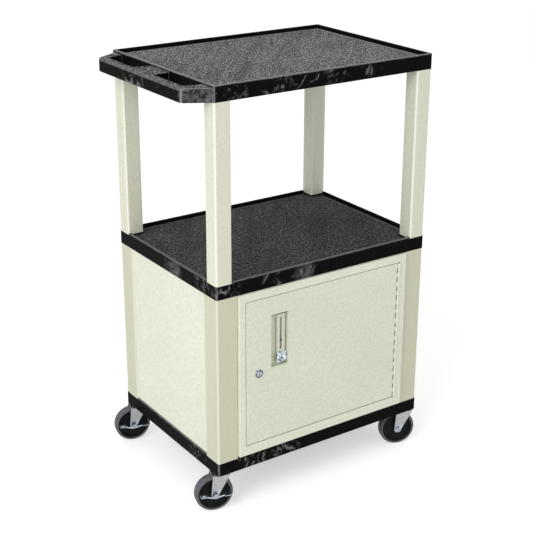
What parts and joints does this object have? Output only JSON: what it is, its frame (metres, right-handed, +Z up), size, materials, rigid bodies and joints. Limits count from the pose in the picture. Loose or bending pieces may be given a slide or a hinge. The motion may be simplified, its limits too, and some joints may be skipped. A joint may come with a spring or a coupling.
{
  "type": "audio-visual cart",
  "caption": "Audio-visual cart: moulded shelves on hollow legs, push handle, lockable sheet-metal cabinet with a piano-hinged door, swivel casters with side brake levers.",
  "frame": {"origin": "on the floor under the centre of the shelves", "axes": "+X to the hinge side (the handle is at -X), +Y to the back (the door is at -Y), +Z up"},
  "size_m": [0.6785, 0.4782, 1.046],
  "materials": {
    "shelf_black": "pebbled moulded black polymer",
    "leg_cream": "satin cream moulded tube",
    "cabinet_paint": "satin cream powder coat",
    "door_paint": "satin cream powder coat",
    "hinge_paint": "cream paint over steel",
    "hinge_pin_steel": "drawn steel wire",
    "pull_paint": "satin cream paint",
    "pull_chrome": "polished chrome plating",
    "zinc_steel": "zinc-plated steel",
    "lock_plating": "bright nickel plating",
    "caster_zinc": "bright zinc plating",
    "bolt_zinc": "bright zinc plating",
    "hub_black": "black moulded hub",
    "tyre_grey": "dark grey rubber tread"
  },
  "bodies": {
    "cart": {"bottom_shelf": "shelf_black", "middle_shelf": "shelf_black", "top_shelf": "shelf_black", "lower_leg_front_left": "leg_cream", "lower_leg_front_right": "leg_cream", "lower_leg_back_left": "leg_cream", "lower_leg_back_right": "leg_cream", "upper_leg_front_left": "leg_cream", "upper_leg_front_right": "leg_cream", "upper_leg_back_left": "leg_cream", "upper_leg_back_right": "leg_cream", "left_panel": "cabinet_paint", "right_panel": "cabinet_paint", "back_panel": "cabinet_paint", "door_frame": "cabinet_paint", "hinge_frame_leaf": "hinge_paint", "hinge_pin": "hinge_pin_steel", "stem_sockets": "zinc_steel", "caster_stem_front_left": "caster_zinc", "caster_stem_front_right": "caster_zinc", "caster_stem_back_left": "caster_zinc", "caster_stem_back_right": "caster_zinc"},
    "door": {"door": "door_paint", "hinge_door_leaf": "hinge_paint", "pull_pan": "pull_paint", "pull_pin": "pull_paint", "lock_body": "lock_plating", "lock_nut": "zinc_steel"},
    "pull": {"pull_lever": "pull_paint", "pull_grip": "pull_chrome"},
    "lock": {"lock_plug": "lock_plating", "lock_cam": "zinc_steel", "cam_screw": "zinc_steel"},
    "fork_front_left": {"caster_fork_front_left": "caster_zinc", "caster_axle_front_left": "bolt_zinc", "caster_nut_front_left": "bolt_zinc", "caster_bush_front_left": "bolt_zinc"},
    "wheel_front_left": {"wheel_hub_front_left": "hub_black", "wheel_tyre_front_left": "tyre_grey"},
    "fork_front_right": {"caster_fork_front_right": "caster_zinc", "caster_axle_front_right": "bolt_zinc", "caster_nut_front_right": "bolt_zinc", "caster_bush_front_right": "bolt_zinc"},
    "wheel_front_right": {"wheel_hub_front_right": "hub_black", "wheel_tyre_front_right": "tyre_grey"},
    "fork_back_left": {"caster_fork_back_left": "caster_zinc", "caster_axle_back_left": "bolt_zinc", "caster_nut_back_left": "bolt_zinc", "caster_bush_back_left": "bolt_zinc"},
    "wheel_back_left": {"wheel_hub_back_left": "hub_black", "wheel_tyre_back_left": "tyre_grey"},
    "fork_back_right": {"caster_fork_back_right": "caster_zinc", "caster_axle_back_right": "bolt_zinc", "caster_nut_back_right": "bolt_zinc", "caster_bush_back_right": "bolt_zinc"},
    "wheel_back_right": {"wheel_hub_back_right": "hub_black", "wheel_tyre_back_right": "tyre_grey"},
    "brake_front_left": {"brake_lever_front_left": "caster_zinc"},
    "brake_back_left": {"brake_lever_back_left": "caster_zinc"}
  },
  "joints": [
    {"name": "door_hinge", "type": "hinge", "parent": "cart", "child": "door", "pos_m": [0.224, -0.235, 0.3485], "axis": [0, 0, 1], "range_deg": [0, 160]},
    {"name": "pull_swing", "type": "hinge", "parent": "door", "child": "pull", "pos_m": [-0.128, -0.2276, 0.477], "axis": [-1, 0, 0], "range_deg": [0, 35]},
    {"name": "lock_turn", "type": "hinge", "parent": "door", "child": "lock", "pos_m": [-0.1944, -0.235, 0.346], "axis": [0, -1, 0], "range_deg": [0, 90]},
    {"name": "swivel_front_left", "type": "hinge", "parent": "cart", "child": "fork_front_left", "pos_m": [-0.2852, -0.2056, 0.09], "axis": [0, 0, 1], "continuous": true},
    {"name": "roll_front_left", "type": "hinge", "parent": "fork_front_left", "child": "wheel_front_left", "pos_m": [-0.30298, -0.2005, 0.047], "axis": [0.2756, 0.9613, 0], "continuous": true},
    {"name": "brake_rock_front_left", "type": "hinge", "parent": "fork_front_left", "child": "brake_front_left", "pos_m": [-0.30298, -0.2005, 0.047], "axis": [0.2756, 0.9613, 0], "range_deg": [-12, 0]},
    {"name": "swivel_front_right", "type": "hinge", "parent": "cart", "child": "fork_front_right", "pos_m": [0.2852, -0.2056, 0.09], "axis": [0, 0, 1], "continuous": true},
    {"name": "roll_front_right", "type": "hinge", "parent": "fork_front_right", "child": "wheel_front_right", "pos_m": [0.26793, -0.19897, 0.047], "axis": [0.3584, 0.9336, 0], "continuous": true},
    {"name": "swivel_back_left", "type": "hinge", "parent": "cart", "child": "fork_back_left", "pos_m": [-0.2852, 0.2056, 0.09], "axis": [0, 0, 1], "continuous": true},
    {"name": "roll_back_left", "type": "hinge", "parent": "fork_back_left", "child": "wheel_back_left", "pos_m": [-0.30315, 0.21008, 0.047], "axis": [0.2419, 0.9703, 0], "continuous": true},
    {"name": "brake_rock_back_left", "type": "hinge", "parent": "fork_back_left", "child": "brake_back_left", "pos_m": [-0.30315, 0.21008, 0.047], "axis": [0.2419, 0.9703, 0], "range_deg": [-12, 0]},
    {"name": "swivel_back_right", "type": "hinge", "parent": "cart", "child": "fork_back_right", "pos_m": [0.2852, 0.2056, 0.09], "axis": [0, 0, 1], "continuous": true},
    {"name": "roll_back_right", "type": "hinge", "parent": "fork_back_right", "child": "wheel_back_right", "pos_m": [0.26761, 0.21132, 0.047], "axis": [0.309, 0.9511, 0], "continuous": true}
  ]
}
